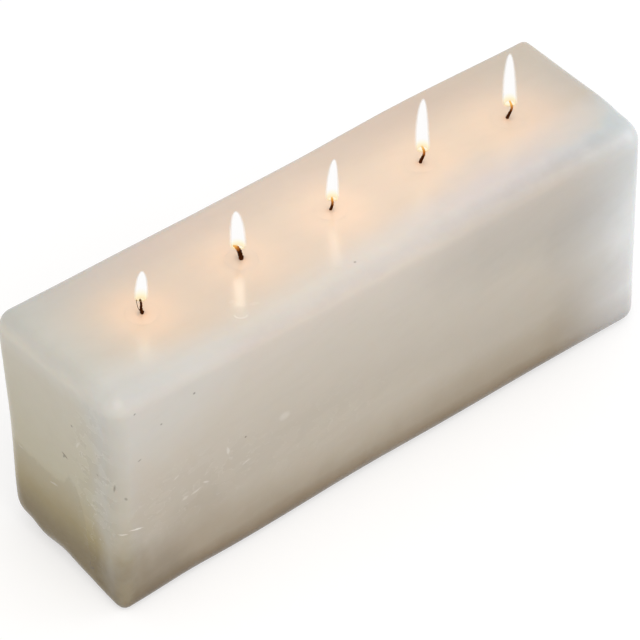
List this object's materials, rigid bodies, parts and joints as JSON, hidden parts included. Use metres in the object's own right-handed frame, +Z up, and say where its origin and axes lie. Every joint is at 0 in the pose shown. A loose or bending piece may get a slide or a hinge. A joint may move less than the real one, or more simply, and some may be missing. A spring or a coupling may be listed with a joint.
{
  "type": "block candle",
  "caption": "Long rectangular block candle of poured wax with a row of lit braided wicks, for a table or hearth.",
  "frame": {"origin": "centre of the flat base that the candle stands on", "axes": "+X along the row of wicks and the block's length, -Y towards the front face, +Z up along the wicks"},
  "size_m": [0.4, 0.11, 0.1975],
  "materials": {
    "candle_wax": "satin",
    "braided_wick": "matte",
    "tinned_steel": "satin",
    "molten_wax": "gloss",
    "flame": "matte"
  },
  "bodies": {
    "root": {"wax_block": "candle_wax", "wick_1": "braided_wick", "wick_2": "braided_wick", "wick_3": "braided_wick", "wick_4": "braided_wick", "wick_5": "braided_wick", "wick_tab_1": "tinned_steel", "wick_tab_2": "tinned_steel", "wick_tab_3": "tinned_steel", "wick_tab_4": "tinned_steel", "wick_tab_5": "tinned_steel", "melt_pool_1": "molten_wax", "melt_pool_2": "molten_wax", "melt_pool_3": "molten_wax", "melt_pool_4": "molten_wax", "melt_pool_5": "molten_wax", "flame_1": "flame", "flame_2": "flame", "flame_3": "flame", "flame_4": "flame", "flame_5": "flame"}
  },
  "joints": []
}
